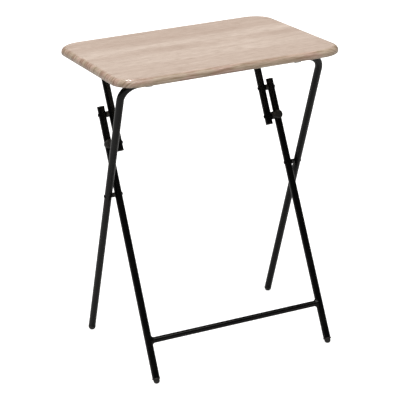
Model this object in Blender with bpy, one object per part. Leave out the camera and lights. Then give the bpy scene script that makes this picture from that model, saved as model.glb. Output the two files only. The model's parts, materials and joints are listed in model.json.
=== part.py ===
"""Folding tray table: a board on two crossing tube frames that fold flat under it.

Metres, +Z up, +Y to the rear, origin on the floor under the middle of the board.
Every hinge axis runs along X, so each part's motion stays in its own slab of X:
upper links inside, front legs beside them, rear legs outermost.
"""

import math

import bmesh
import bpy
from mathutils import Matrix, Vector

# Clearance between pieces that touch.
GAP = 0.0003
# Flat sides on a turned piece.
SMALL_SIDES = 12
PLUG_SIDES = 16
BORE_SIDES = 20

# Board.
BOARD_LENGTH = 0.500
BOARD_DEPTH = 0.393
BOARD_THICKNESS = 0.016
BOARD_HEIGHT = 0.664
BOARD_CORNER = 0.053
BOARD_UPPER_ROUND = 0.0115
BOARD_LOWER_ROUND = 0.004

# Tubes.
TUBE = 0.016
WALL = 0.0012
CROSSBAR = 0.0127
BORE = TUBE / 2 - WALL

# Side view: the two hinges under the board and the scissor pivot, as (y, z).
HINGE_DROP = 0.009
HINGE_Z = BOARD_HEIGHT - BOARD_THICKNESS - HINGE_DROP
FRONT_HINGE = Vector((0, -0.132, HINGE_Z))
REAR_HINGE = Vector((0, 0.1132, HINGE_Z))
SCISSOR = Vector((0, -0.002, 0.3725))

# Front view: half the spacing of each pair of legs.
REAR_LEG_X = 0.223
FRONT_LEG_X = 0.200
LINK_X = 0.176
# The front legs spread towards the feet, in metres of X per metre of height.
FRONT_LEG_SPREAD = 0.0075

# Radius of every bend, on the tube's centre line.
TUBE_BEND = 0.036
BEND_STEPS = 8

CROSSBAR_Z = 0.0824
FRONT_LEG_TOP_Z = 0.5460
LINK_TAIL_Z = 0.4540
CLIP_Z = 0.4708

# Plugs and feet, lengths along the tube.
PLUG_HEAD = 0.0020
PLUG_STEM = 0.009
REAR_FOOT_LENGTH = 0.0135
FRONT_FOOT_LENGTH = 0.0115

# Rivets, washers and screws.
RIVET = 0.0025
RIVET_HOLE = 0.0028
RIVET_HEAD = 0.0040
RIVET_HEAD_HEIGHT = 0.0022
KNEE_WASHER = 0.0064
SCISSOR_WASHER = 0.0052
SCREW = 0.0019
SCREW_HOLE = 0.0022
SCREW_DEPTH = 0.012

# Hinge brackets, bent from strip, with the board's underside HINGE_DROP above the axis.
STRIP = 0.0012
BRACKET_WIDTH = 0.012
BRACKET_REACH = 0.026
BRACKET_SCREW_Y = 0.018
FRONT_BRACKET_X = 0.166
REAR_BRACKET_X = 0.092

# Snap clip: a round block that sits over the front of the front leg.
CLIP_BLOCK = 0.010
CLIP_DEPTH = 0.0103
CLIP_BOSS = 0.0085

SIDES = (("left", -1), ("right", 1))
X_AXIS = Vector((1, 0, 0))
Z_AXIS = Vector((0, 0, 1))


def knee_point():
    """Where the upper link meets the front leg.

    The linkage can fold flat when rear leg minus board span equals front leg minus link,
    each measured between pivots, so the straight line from scissor to rear hinge is
    divided by that rule. The clips meet the board about one degree before that.
    """
    board_span = (REAR_HINGE - FRONT_HINGE).length
    rear_leg = (SCISSOR - FRONT_HINGE).length
    strut = (REAR_HINGE - SCISSOR).length
    front_leg = (strut + rear_leg - board_span) / 2
    return SCISSOR.lerp(REAR_HINGE, front_leg / strut)


KNEE = knee_point()
REAR_LEG_DOWN = (SCISSOR - FRONT_HINGE).normalized()
FRONT_LEG_DOWN = (SCISSOR - REAR_HINGE).normalized()


def on_line(pivot, direction, z, x=0.0):
    """The point at height z on the side-view line through pivot, moved to x."""
    point = pivot + direction * ((z - pivot.z) / direction.z)
    return Vector((x, point.y, point.z))


def rear_leg_at(z, side):
    return on_line(FRONT_HINGE, REAR_LEG_DOWN, z, side * REAR_LEG_X)


def front_leg_at(z, side):
    spread = FRONT_LEG_SPREAD * (SCISSOR.z - z)
    return on_line(REAR_HINGE, FRONT_LEG_DOWN, z, side * (FRONT_LEG_X + spread))


def link_at(z, side):
    return on_line(REAR_HINGE, FRONT_LEG_DOWN, z, side * LINK_X)


def front_leg_direction(side):
    """Down the leg, with its spread."""
    return (front_leg_at(0, side) - front_leg_at(1, side)).normalized()


def clear_scene():
    for obj in list(bpy.data.objects):
        bpy.data.objects.remove(obj, do_unlink=True)


def finish(name, colour, roughness, metallic=0.0):
    """A Principled material, made once."""
    found = bpy.data.materials.get(name)
    if found:
        return found
    material = bpy.data.materials.new(name)
    material.use_nodes = True
    shader = material.node_tree.nodes["Principled BSDF"]
    shader.inputs["Base Color"].default_value = (*colour, 1)
    shader.inputs["Roughness"].default_value = roughness
    shader.inputs["Metallic"].default_value = metallic
    return material


def oak_board():
    return finish("oak_foil_board", (0.49, 0.40, 0.31), 0.5)


def black_paint():
    return finish("black_painted_steel", (0.008, 0.008, 0.009), 0.25)


def black_plastic():
    return finish("black_moulded_plastic", (0.022, 0.021, 0.020), 0.5)


def bare_steel():
    return finish("zinc_plated_steel", (0.55, 0.56, 0.56), 0.35, 1.0)


def black_rivet():
    return finish("blackened_rivet_steel", (0.02, 0.02, 0.02), 0.4, 1.0)


def pivot_empty(name, point, parent=None):
    """An empty on a joint's axis, which its moving pieces hang from."""
    empty = bpy.data.objects.new(name, None)
    bpy.context.collection.objects.link(empty)
    empty.parent = parent
    empty.location = point - (parent.matrix_world.translation if parent else Vector())
    bpy.context.view_layer.update()
    return empty


def add_object(name, mesh, material, parent=None):
    """An object whose mesh is given in world coordinates, with its origin at its parent."""
    if parent:
        mesh.transform(Matrix.Translation(-parent.matrix_world.translation))
    mesh.materials.clear()
    mesh.materials.append(material)
    mesh.shade_smooth()
    mesh.set_sharp_from_angle(angle=math.radians(35))
    obj = bpy.data.objects.new(name, mesh)
    bpy.context.collection.objects.link(obj)
    obj.parent = parent
    return obj


def mesh_from(bm, name):
    mesh = bpy.data.meshes.new(name)
    bm.to_mesh(mesh)
    bm.free()
    return mesh


def turned(name, profile, start, direction, steps):
    """A mesh turned about the line from start along direction.

    profile holds (radius, distance along) pairs, from the axis back to the axis, or a
    closed loop when no point is on the axis.
    """
    bm = bmesh.new()
    points = [bm.verts.new((radius, 0, along)) for radius, along in profile]
    pairs = list(zip(points, points[1:]))
    if profile[0][0] > 0:
        pairs.append((points[-1], points[0]))
    edges = [bm.edges.new(pair) for pair in pairs]
    bmesh.ops.spin(bm, geom=points + edges, axis=Z_AXIS, angle=math.tau, steps=steps)
    bmesh.ops.remove_doubles(bm, verts=bm.verts, dist=1e-6)
    bmesh.ops.recalc_face_normals(bm, faces=bm.faces)
    turn = Z_AXIS.rotation_difference(direction).to_matrix().to_4x4()
    bmesh.ops.transform(bm, matrix=Matrix.Translation(start) @ turn, verts=bm.verts)
    return mesh_from(bm, name)


def rod(name, radius, start, end, steps=SMALL_SIDES):
    """A plain cylinder mesh from start to end."""
    length = (end - start).length
    profile = [(0, 0), (radius, 0), (radius, length), (0, length)]
    return turned(name, profile, start, end - start, steps)


def cutter(name, mesh):
    """A helper that only Boolean modifiers see."""
    obj = bpy.data.objects.new(name, mesh)
    bpy.context.collection.objects.link(obj)
    obj.hide_render = True
    obj.display_type = "WIRE"
    return obj


def boolean(obj, other, operation="DIFFERENCE"):
    modifier = obj.modifiers.new(f"{operation.lower()} {other.name}", "BOOLEAN")
    modifier.operation = operation
    modifier.solver = "EXACT"
    modifier.object = other


def drill_across(obj, point, radius, reach):
    """A hole along X through obj, reach to each side of point."""
    start = point - X_AXIS * reach
    boolean(obj, cutter(f"drill {obj.name} {len(obj.modifiers)}",
                        rod("drill", radius, start, point + X_AXIS * reach)))


def arc(radius, first, last, steps, centre=(0.0, 0.0)):
    """Points on an arc, angles in degrees, both ends included."""
    points = []
    for i in range(steps + 1):
        angle = math.radians(first + (last - first) * i / steps)
        points.append((centre[0] + radius * math.cos(angle), centre[1] + radius * math.sin(angle)))
    return points


def bend(before, corner, after, radius):
    """The points of a round bend between two straight runs that meet at corner."""
    u = (before - corner).normalized()
    v = (after - corner).normalized()
    half = u.angle(v) / 2
    centre = corner + (u + v).normalized() * (radius / math.sin(half))
    first = corner + u * (radius / math.tan(half)) - centre
    last = corner + v * (radius / math.tan(half)) - centre
    turn = first.angle(last)
    points = []
    for i in range(BEND_STEPS + 1):
        share = i / BEND_STEPS
        weights = math.sin((1 - share) * turn), math.sin(share * turn)
        points.append(centre + (first * weights[0] + last * weights[1]) / math.sin(turn))
    return points


def tube(name, path, outer, material, parent):
    """A hollow tube along a path, with open ends."""
    curve = bpy.data.curves.new(name, "CURVE")
    curve.dimensions = "3D"
    curve.bevel_depth = outer / 2
    curve.bevel_resolution = 8
    curve.use_fill_caps = False
    spline = curve.splines.new("POLY")
    spline.points.add(len(path) - 1)
    for point, place in zip(spline.points, path):
        point.co = (*place, 1)
    guide = bpy.data.objects.new(f"{name} path", curve)
    bpy.context.collection.objects.link(guide)
    graph = bpy.context.evaluated_depsgraph_get()
    mesh = bpy.data.meshes.new_from_object(guide.evaluated_get(graph))
    bpy.data.objects.remove(guide, do_unlink=True)
    obj = add_object(name, mesh, material, parent)
    wall = obj.modifiers.new("wall", "SOLIDIFY")
    wall.thickness = WALL
    wall.offset = -1
    wall.use_even_offset = True
    return obj


def u_frame(name, hinge, leg_at, end_left, end_right, parent):
    """A tube bent into a U: two legs and a bar along the hinge axis."""
    corners = [leg_at(hinge.z, side) for _, side in SIDES]
    path = [end_left]
    path += bend(end_left, corners[0], corners[1], TUBE_BEND)
    path += bend(corners[0], corners[1], end_right, TUBE_BEND)
    path.append(end_right)
    return tube(name, path, TUBE, black_paint(), parent)


def rivet_mesh(name, low, high, heads=(True, True)):
    """A domed rivet along X from low to high, the faces that its heads press on."""
    profile = []
    length = high.x - low.x
    dome = arc(1.0, 0, 90, 3)
    if heads[0]:
        profile += [(RIVET_HEAD * c, -RIVET_HEAD_HEIGHT * s) for c, s in reversed(dome)]
        profile[0] = (0, -RIVET_HEAD_HEIGHT)
        profile += [(RIVET, 0)]
    else:
        profile += [(0, 0), (RIVET, 0)]
    profile += [(RIVET, length)]
    if heads[1]:
        profile += [(RIVET_HEAD * c, length + RIVET_HEAD_HEIGHT * s) for c, s in dome]
        profile[-1] = (0, length + RIVET_HEAD_HEIGHT)
    else:
        profile += [(0, length)]
    return turned(name, profile, low, X_AXIS, SMALL_SIDES)


def washer_mesh(name, low, high, radius):
    profile = [(RIVET_HOLE, 0), (radius, 0), (radius, high.x - low.x), (RIVET_HOLE, high.x - low.x)]
    return turned(name, profile, low, X_AXIS, SMALL_SIDES)


def at_x(point, x):
    return Vector((x, point.y, point.z))


def between(side, inner, outer, point):
    """(low, high) points along X for a piece from inner to outer on one side."""
    return tuple(at_x(point, x) for x in sorted((side * inner, side * outer)))


def rounded_outline(length, depth, radius, steps=8):
    points = []
    for turn, (sx, sy) in enumerate(((1, 1), (-1, 1), (-1, -1), (1, -1))):
        centre = (sx * (length / 2 - radius), sy * (depth / 2 - radius))
        points += arc(radius, 90 * turn, 90 * turn + 90, steps, centre)
    return points


def board_profile():
    """(inset, z) pairs up the edge: a small round below and a large one above."""
    low = BOARD_HEIGHT - BOARD_THICKNESS
    lower = arc(BOARD_LOWER_ROUND, -90, 0, 3, (-BOARD_LOWER_ROUND, low + BOARD_LOWER_ROUND))
    upper = arc(BOARD_UPPER_ROUND, 0, 90, 5, (-BOARD_UPPER_ROUND, BOARD_HEIGHT - BOARD_UPPER_ROUND))
    return [(-x, z) for x, z in lower + upper]


def make_board():
    bm = bmesh.new()
    rings = []
    for inset, z in board_profile():
        outline = rounded_outline(
            BOARD_LENGTH - 2 * inset, BOARD_DEPTH - 2 * inset, BOARD_CORNER - inset
        )
        rings.append([bm.verts.new((x, y, z)) for x, y in outline])
    for lower, upper in zip(rings, rings[1:]):
        for i, vert in enumerate(lower):
            j = (i + 1) % len(lower)
            bm.faces.new((vert, lower[j], upper[j], upper[i]))
    bm.faces.new(reversed(rings[0]))
    bm.faces.new(rings[-1])
    board = add_object("tabletop", mesh_from(bm, "tabletop"), oak_board())
    for place in screw_places():
        low = Vector((*place, BOARD_HEIGHT - BOARD_THICKNESS - 0.002))
        high = low + Z_AXIS * (SCREW_DEPTH + 0.0026)
        boolean(board, cutter(f"pilot {place[0]:.3f} {place[1]:.3f}",
                              rod("pilot", SCREW_HOLE, low, high, 12)))


def bracket_places():
    """(name, x, hinge) of the four hinge brackets."""
    places = []
    for label, hinge, x in (("front", FRONT_HINGE, FRONT_BRACKET_X), ("rear", REAR_HINGE, REAR_BRACKET_X)):
        for side_name, side in SIDES:
            places.append((f"{label}_{side_name}", side * x, hinge))
    return places


def screw_places():
    places = []
    for _, x, hinge in bracket_places():
        places += [(x, hinge.y - BRACKET_SCREW_Y), (x, hinge.y + BRACKET_SCREW_Y)]
    return places


def bracket_outline():
    """The strip's side view about the hinge axis, as (y, z)."""
    inner = TUBE / 2 + GAP
    outer = inner + STRIP
    top = BOARD_HEIGHT - BOARD_THICKNESS - GAP - HINGE_Z
    points = [(-BRACKET_REACH, top), (-BRACKET_REACH, top - STRIP), (-outer, top - STRIP)]
    points += arc(outer, 180, 360, 8)
    points += [(outer, top - STRIP), (BRACKET_REACH, top - STRIP), (BRACKET_REACH, top), (inner, top)]
    points += arc(inner, 360, 180, 8)
    points += [(-inner, top)]
    return points


def make_bracket(name, x, hinge):
    bm = bmesh.new()
    outline = bracket_outline()
    verts = [bm.verts.new((x - BRACKET_WIDTH / 2, hinge.y + y, hinge.z + z)) for y, z in outline]
    face = bm.faces.new(verts)
    grown = bmesh.ops.extrude_face_region(bm, geom=[face])["geom"]
    moved = [item for item in grown if isinstance(item, bmesh.types.BMVert)]
    bmesh.ops.translate(bm, vec=X_AXIS * BRACKET_WIDTH, verts=moved)
    bmesh.ops.recalc_face_normals(bm, faces=bm.faces)
    bracket = add_object(f"hinge_bracket_{name}", mesh_from(bm, name), bare_steel())
    for label, offset in (("front", -BRACKET_SCREW_Y), ("rear", BRACKET_SCREW_Y)):
        place = Vector((x, hinge.y + offset, HINGE_Z))
        hole = rod("hole", SCREW_HOLE, place, place + Z_AXIS * 0.02, 12)
        boolean(bracket, cutter(f"hole {name} {label}", hole))
        make_screw(f"bracket_screw_{name}_{label}", place)


def make_screw(name, place):
    """A pan-head screw from below, through the strip and into the board."""
    seat = BOARD_HEIGHT - BOARD_THICKNESS - 2 * GAP - STRIP
    shank = BOARD_HEIGHT - BOARD_THICKNESS + SCREW_DEPTH - seat
    head = [(0, -0.0024), (0.0024, -0.0023), (0.0036, -0.0016), (0.0040, -0.0006), (0.0040, 0)]
    profile = head + [(SCREW, 0), (SCREW, shank - 0.003), (0.0004, shank), (0, shank)]
    mesh = turned(name, profile, Vector((place.x, place.y, seat)), Z_AXIS, SMALL_SIDES)
    add_object(name, mesh, bare_steel())


def make_plug(name, end, outward, parent):
    """A moulded plug with a thin rounded head and a stem inside the tube, whose cut end is at end."""
    stem = BORE - GAP
    head = TUBE / 2 + 0.0005
    profile = [(0, -PLUG_STEM), (stem, -PLUG_STEM), (stem, GAP), (head - 0.0004, GAP), (head, GAP + 0.0005)]
    profile += [(head - 0.0003, PLUG_HEAD - 0.0005), (head - 0.0014, PLUG_HEAD), (0, PLUG_HEAD + 0.0003)]
    add_object(name, turned(name, profile, end, outward, PLUG_SIDES), black_plastic(), parent)


def foot_mesh(name, floor_point, up, profile):
    """A foot turned about its leg, then cut flat where it stands on the floor."""
    mesh = turned(name, profile, floor_point, up, PLUG_SIDES)
    bm = bmesh.new()
    bm.from_mesh(mesh)
    everything = list(bm.verts) + list(bm.edges) + list(bm.faces)
    cut = bmesh.ops.bisect_plane(
        bm, geom=everything, plane_co=Vector(), plane_no=-Z_AXIS, clear_outer=True
    )["geom_cut"]
    rim = [item for item in cut if isinstance(item, bmesh.types.BMEdge)]
    bmesh.ops.contextual_create(bm, geom=rim)
    bmesh.ops.recalc_face_normals(bm, faces=bm.faces)
    bm.to_mesh(mesh)
    bm.free()
    return mesh


def make_rear_foot(side_name, side, parent):
    """A domed glide, as wide as the tube."""
    head = TUBE / 2 + 0.0002
    dome = [(head * c, 0.0080 - head * s) for c, s in reversed(arc(1.0, 0, 90, 5))]
    dome[0] = (0, 0.0080 - head)
    shoulder = REAR_FOOT_LENGTH - GAP
    profile = dome + [(head, shoulder - 0.0004), (head - 0.0004, shoulder), (BORE - GAP, shoulder)]
    profile += [(BORE - GAP, shoulder + 0.016), (0, shoulder + 0.016)]
    name = f"rear_foot_{side_name}"
    mesh = foot_mesh(name, rear_leg_at(0, side), -REAR_LEG_DOWN, profile)
    add_object(name, mesh, black_plastic(), parent)


def make_front_foot(side_name, side, parent):
    """A flange that covers the tube's end and a narrower rounded glide below it."""
    flange, glide = 0.0088, 0.0068
    dome = [(glide * c, 0.0058 - glide * s) for c, s in reversed(arc(1.0, 0, 90, 4))]
    dome[0] = (0, 0.0058 - glide)
    top = FRONT_FOOT_LENGTH - GAP
    profile = dome + [(glide, top - 0.0030), (flange - 0.0006, top - 0.0027), (flange, top - 0.0021)]
    profile += [(flange, top - 0.0006), (flange - 0.0006, top), (BORE - GAP, top)]
    profile += [(BORE - GAP, top + 0.016), (0, top + 0.016)]
    name = f"front_foot_{side_name}"
    mesh = foot_mesh(name, front_leg_at(0, side), -front_leg_direction(side), profile)
    add_object(name, mesh, black_plastic(), parent)


def make_rear_legs(hinge):
    """The outermost frame: its bar turns under the front edge and its feet stand at the rear."""
    ends = [rear_leg_at(0, side) - REAR_LEG_DOWN * REAR_FOOT_LENGTH for _, side in SIDES]
    frame = u_frame("rear_leg_frame", FRONT_HINGE, rear_leg_at, *ends, hinge)
    for side_name, side in SIDES:
        drill_across(frame, at_x(SCISSOR, side * REAR_LEG_X), RIVET_HOLE, TUBE)
        make_rear_foot(side_name, side, hinge)


def make_links(hinge):
    """The innermost frame: its bar turns under the rear edge and its tails carry the clips."""
    plug = -FRONT_LEG_DOWN * PLUG_HEAD
    ends = [link_at(LINK_TAIL_Z, side) + plug for _, side in SIDES]
    frame = u_frame("upper_link_frame", REAR_HINGE, link_at, *ends, hinge)
    for side_name, side in SIDES:
        drill_across(frame, at_x(KNEE, side * LINK_X), RIVET_HOLE, TUBE)
        drill_across(frame, link_at(CLIP_Z, side), RIVET_HOLE, TUBE)
        end = link_at(LINK_TAIL_Z, side) + plug
        make_plug(f"link_tail_plug_{side_name}", end, FRONT_LEG_DOWN, hinge)
        make_clip(side_name, side, hinge)


def make_clip(side_name, side, hinge):
    """A moulded block over the front of the front leg, with a boss riveted to the link's tail."""
    leg = front_leg_at(CLIP_Z, side)
    down = front_leg_direction(side)
    forward = down.cross(X_AXIS).normalized()
    if forward.y > 0:
        forward = -forward
    rounding = 0.003
    block = [(0, 0), (CLIP_BLOCK, 0), (CLIP_BLOCK, CLIP_DEPTH - rounding)]
    centre = (CLIP_BLOCK - rounding, CLIP_DEPTH - rounding)
    block += arc(rounding, 0, 90, 3, centre)[1:]
    block += [(0, CLIP_DEPTH)]
    name = f"snap_clip_{side_name}"
    clip = add_object(name, turned(name, block, leg, forward, 24), black_plastic(), hinge)
    link_side = TUBE / 2 + GAP
    inner = link_at(CLIP_Z, side) + X_AXIS * side * link_side
    outer = at_x(leg, leg.x - side * 0.0088)
    boss = rod(f"{name} boss", CLIP_BOSS, inner, outer, BORE_SIDES)
    boolean(clip, cutter(f"boss {side_name}", boss), "UNION")
    groove = rod(f"{name} groove", TUBE / 2 + GAP, leg - down * 0.03, leg + down * 0.03, BORE_SIDES)
    boolean(clip, cutter(f"groove {side_name}", groove))
    hole_end = at_x(inner, leg.x - side * 0.0115)
    hole = rod(f"{name} hole", RIVET_HOLE, inner - X_AXIS * side * 0.002, hole_end)
    boolean(clip, cutter(f"clip hole {side_name}", hole))
    inboard = LINK_X - TUBE / 2 - GAP
    low, high = between(side, inboard, abs(hole_end.x) - GAP, inner)
    heads = (side > 0, side < 0)
    rivet = rivet_mesh(f"clip_rivet_{side_name}", low, high, heads)
    add_object(f"clip_rivet_{side_name}", rivet, black_rivet(), hinge)


def make_front_leg(side_name, side, knee):
    up = -front_leg_direction(side)
    bottom = front_leg_at(0, side) + up * FRONT_FOOT_LENGTH
    top = front_leg_at(FRONT_LEG_TOP_Z, side) - up * PLUG_HEAD
    leg = tube(f"front_leg_{side_name}", [bottom, top], TUBE, black_paint(), knee)
    for pivot in (SCISSOR, KNEE):
        drill_across(leg, front_leg_at(pivot.z, side), RIVET_HOLE, TUBE)
    make_plug(f"leg_top_plug_{side_name}", top, up, knee)
    make_front_foot(side_name, side, knee)


def make_crossbar(knee):
    """The bar between the front legs, flared and shaped to them at its ends."""
    end = front_leg_at(CROSSBAR_Z, 1).x
    radius = CROSSBAR / 2
    flare = 0.0013
    outer = [(radius + flare, -end), (radius + flare, -end + 0.011), (radius, -end + 0.017)]
    outer += [(r, -x) for r, x in reversed(outer)]
    profile = outer + [(radius - WALL, end), (radius - WALL, -end)]
    centre = on_line(REAR_HINGE, FRONT_LEG_DOWN, CROSSBAR_Z)
    mesh = turned("front_crossbar", profile, centre, X_AXIS, BORE_SIDES)
    bar = add_object("front_crossbar", mesh, black_paint(), knee)
    for side_name, side in SIDES:
        place = front_leg_at(CROSSBAR_Z, side)
        reach = front_leg_direction(side) * 0.03
        saddle = rod(f"saddle {side_name}", TUBE / 2 + GAP, place - reach, place + reach, BORE_SIDES)
        boolean(bar, cutter(f"saddle {side_name}", saddle))


def make_knee_pin(side_name, side, hinge):
    """The rivet and washer that join link and front leg."""
    leg_x = abs(front_leg_at(KNEE.z, side).x)
    inboard = LINK_X - TUBE / 2 - GAP
    low, high = between(side, inboard, leg_x + TUBE / 2 + GAP, KNEE)
    rivet = rivet_mesh(f"knee_rivet_{side_name}", low, high)
    add_object(f"knee_rivet_{side_name}", rivet, black_rivet(), hinge)
    low, high = between(side, LINK_X + TUBE / 2 + GAP, leg_x - TUBE / 2 - GAP, KNEE)
    washer = washer_mesh(f"knee_washer_{side_name}", low, high, KNEE_WASHER)
    add_object(f"knee_washer_{side_name}", washer, black_plastic(), hinge)


def make_scissor_pin(side_name, side, rear_hinge, knee):
    """The scissor pivot, parted halfway between the tubes so that each half stays on its own leg."""
    inner_face = FRONT_LEG_X + TUBE / 2 + GAP
    outer_face = REAR_LEG_X - TUBE / 2 - GAP
    middle = (inner_face + outer_face) / 2
    halves = (
        ("outer", rear_hinge, middle + GAP / 2, REAR_LEG_X + TUBE / 2 + GAP, side > 0, outer_face),
        ("inner", knee, middle - GAP / 2, FRONT_LEG_X - TUBE / 2 - GAP, side < 0, inner_face),
    )
    for label, parent, split, head_face, head_is_high, washer_face in halves:
        low, high = between(side, split, head_face, SCISSOR)
        heads = (not head_is_high, head_is_high)
        name = f"scissor_rivet_{label}_{side_name}"
        add_object(name, rivet_mesh(name, low, high, heads), black_rivet(), parent)
        low, high = between(side, split, washer_face, SCISSOR)
        name = f"scissor_washer_{label}_{side_name}"
        add_object(name, washer_mesh(name, low, high, SCISSOR_WASHER), black_plastic(), parent)


def build():
    clear_scene()
    make_board()
    for place in bracket_places():
        make_bracket(*place)
    rear_hinge = pivot_empty("rear_legs_pivot", FRONT_HINGE)
    link_hinge = pivot_empty("upper_links_pivot", REAR_HINGE)
    knee = pivot_empty("front_legs_pivot", KNEE, link_hinge)
    make_rear_legs(rear_hinge)
    make_links(link_hinge)
    make_crossbar(knee)
    for side_name, side in SIDES:
        make_front_leg(side_name, side, knee)
        make_knee_pin(side_name, side, link_hinge)
        make_scissor_pin(side_name, side, rear_hinge, knee)


build()
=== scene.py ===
"""Looks of a folding tray table: an oak-foil board on two crossing frames of black steel tube.

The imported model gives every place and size. Each class below makes the fine meshes of one
sub-assembly around it, in metres: X along the board, Y to the rear, Z up from the floor.
"""

import functools
import json
import logging
import math
from dataclasses import dataclass, fields
from enum import Enum
from typing import Any, Callable, ClassVar, Iterator, Sequence

import bmesh
import bpy
from mathutils import Matrix, Vector


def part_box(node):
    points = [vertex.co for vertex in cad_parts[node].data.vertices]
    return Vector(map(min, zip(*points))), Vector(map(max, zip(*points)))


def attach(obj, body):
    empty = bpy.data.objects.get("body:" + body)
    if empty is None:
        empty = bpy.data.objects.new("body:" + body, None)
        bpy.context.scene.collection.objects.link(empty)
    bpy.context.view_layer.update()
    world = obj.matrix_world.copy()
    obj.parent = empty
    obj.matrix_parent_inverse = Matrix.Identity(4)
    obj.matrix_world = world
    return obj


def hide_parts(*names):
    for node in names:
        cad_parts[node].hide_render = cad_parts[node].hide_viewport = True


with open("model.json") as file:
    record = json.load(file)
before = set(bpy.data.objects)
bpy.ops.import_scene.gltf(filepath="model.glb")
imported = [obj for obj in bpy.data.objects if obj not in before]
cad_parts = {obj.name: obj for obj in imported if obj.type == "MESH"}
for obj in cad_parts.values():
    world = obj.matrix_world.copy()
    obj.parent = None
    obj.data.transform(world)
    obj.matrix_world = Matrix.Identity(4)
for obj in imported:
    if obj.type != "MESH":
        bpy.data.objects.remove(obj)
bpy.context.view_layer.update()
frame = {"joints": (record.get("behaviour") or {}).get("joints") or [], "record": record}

LOG = logging.getLogger("tray_table")
MM = 0.001
ORIGIN = Vector((0, 0, 0))
X_AXIS = Vector((1, 0, 0))
Z_AXIS = Vector((0, 0, 1))

# The tubes' wall, and the gap that the frame leaves between pieces that touch.
TUBE_WALL = 1.2 * MM
GAP = 0.3 * MM
# Facets round a small turned piece.
TURNED_SIDES = 48
# A dome's sweep stops just short of its pole, so that no ring there has no size.
DOME_SWEEP = 0.497 * math.pi
DOME_STEPS = 14
# How full the heads' domes are: 2 is plainly round, more is flatter on top.
RIVET_FULLNESS = 2.3
SCREW_FULLNESS = 3.2
SPACER_BORE = 2.8 * MM
FOIL_MAP = "foil"
EDGE_ATTRIBUTE = "edge"
# Most of a noise lies between these values.
NOISE_RANGE = (0.3, 0.7)

Pair = tuple[float, float]
Triple = tuple[float, float, float]
Tree = bpy.types.NodeTree
Socket = bpy.types.NodeSocket
Mesh = bpy.types.Mesh


class Side(Enum):
    """Which end of the table a piece is on. The value is the sign of its X."""

    LEFT = -1
    RIGHT = 1

    @property
    def label(self) -> str:
        """The side's word in a piece's name."""
        return self.name.lower()


class Body(Enum):
    """The bodies that pieces ride on."""

    TABLETOP = "tabletop"
    REAR_LEGS = "rear_legs"
    UPPER_LINKS = "upper_links"
    FRONT_LEGS = "front_legs"


class Slot(Enum):
    """The record's material slots."""

    OAK_FOIL = "oak_foil_board"
    PAINT = "black_paint"
    PLASTIC = "black_plastic"
    ZINC = "zinc_steel"
    RIVET = "rivet_steel"


# Nodes


def add_node(
    tree: Tree,
    kind: str,
    inputs: dict[str | int, Any] | None = None,
    out: str | int = 0,
    stops: Sequence[tuple[float, Sequence[float]]] = (),
    **settings: Any,
) -> Socket | None:
    """Adds a node with its settings and links.

    Args:
        tree: The tree that gets the node.
        kind: The node's type, such as ShaderNodeTexNoise.
        inputs: What each input takes, by name or number: a socket is linked, a value is set,
            and the items of a list go in one after the other.
        out: The output to hand back, by name or number.
        stops: For a colour ramp, its places from 0 to 1 and their colours.
        settings: The node's own properties.

    Returns:
        The chosen output, or None where the node has none.
    """
    node = tree.nodes.new(kind)
    for name, value in settings.items():
        setattr(node, name, value)
    for key, value in (inputs or {}).items():
        for item in value if isinstance(value, list) else [value]:
            if isinstance(item, Socket):
                tree.links.new(item, node.inputs[key])
            else:
                node.inputs[key].default_value = item
    for index, (place, colour) in enumerate(stops):
        ramp = node.color_ramp.elements
        stop = ramp[index] if index < 2 else ramp.new(place)
        stop.position = place
        stop.color = colour
    return node.outputs[out] if node.outputs else None


class TreeSizes:
    """The sizes that a geometry tree takes: each field of a subclass is one named input."""

    @classmethod
    def start_tree(cls, name: str) -> tuple[Tree, dict[str, Socket]]:
        """Starts a Geometry Nodes tree.

        Args:
            name: The tree's name.

        Returns:
            The tree and its inputs' sockets, Geometry and Material among them.
        """
        tree = bpy.data.node_groups.new(name, "GeometryNodeTree")
        kinds = {field.name: "Int" if field.type is int else "Float" for field in fields(cls)}
        for label, kind in {"Geometry": "Geometry", **kinds, "Material": "Material"}.items():
            tree.interface.new_socket(label, in_out="INPUT", socket_type=f"NodeSocket{kind}")
        tree.interface.new_socket("Geometry", in_out="OUTPUT", socket_type="NodeSocketGeometry")
        return tree, dict(tree.nodes.new("NodeGroupInput").outputs.items())

    def grow(self, name: str, tree: Tree, guide: Mesh, finish: "Finish") -> Mesh:
        """Runs a tree on a guide.

        Args:
            name: The result's name.
            tree: The tree.
            guide: The mesh that the tree reads.
            finish: What the result is made of.

        Returns:
            The plain mesh that it makes, with the modifier gone.
        """
        values = {field.name: getattr(self, field.name) for field in fields(self)}
        values["Material"] = finish.material()
        obj = helper_object(name, guide)
        modifier = add_modifier(obj, "NODES", node_group=tree)
        for item in tree.interface.items_tree:
            if item.in_out == "INPUT" and item.name in values:
                modifier[item.identifier] = values[item.name]
        return settled(obj)


@dataclass
class TubeSizes(TreeSizes):
    """A tube's outer radius, its bends' radius at its middle, and its facets."""

    outer: float
    bend: float
    bend_steps: int = 32
    sides: int = 64


@dataclass
class RivetSizes(TreeSizes):
    """A domed rivet."""

    shank: float = 2.5 * MM
    head: float = 4.0 * MM
    height: float = 2.2 * MM


@dataclass
class ScrewSizes(TreeSizes):
    """A pan-head screw with a cross recess. The seed turns each one in its own way."""

    head: float = 4.0 * MM
    height: float = 2.4 * MM
    shank: float = 1.9 * MM
    length: float = 13 * MM
    recess_width: float = 0.9 * MM
    recess_span: float = 3.8 * MM
    seed: int = 4


def end_tree(tree: Tree, source: dict[str, Socket], parts: list[Socket]) -> Tree:
    """Joins the parts, makes them real, sets the material and ends the tree."""
    joined = add_node(tree, "GeometryNodeJoinGeometry", {"Geometry": parts})
    real = add_node(tree, "GeometryNodeRealizeInstances", {"Geometry": joined})
    inputs = {"Geometry": real, "Material": source["Material"]}
    dressed = add_node(tree, "GeometryNodeSetMaterial", inputs)
    add_node(tree, "NodeGroupOutput", {"Geometry": dressed})
    return tree


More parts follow.
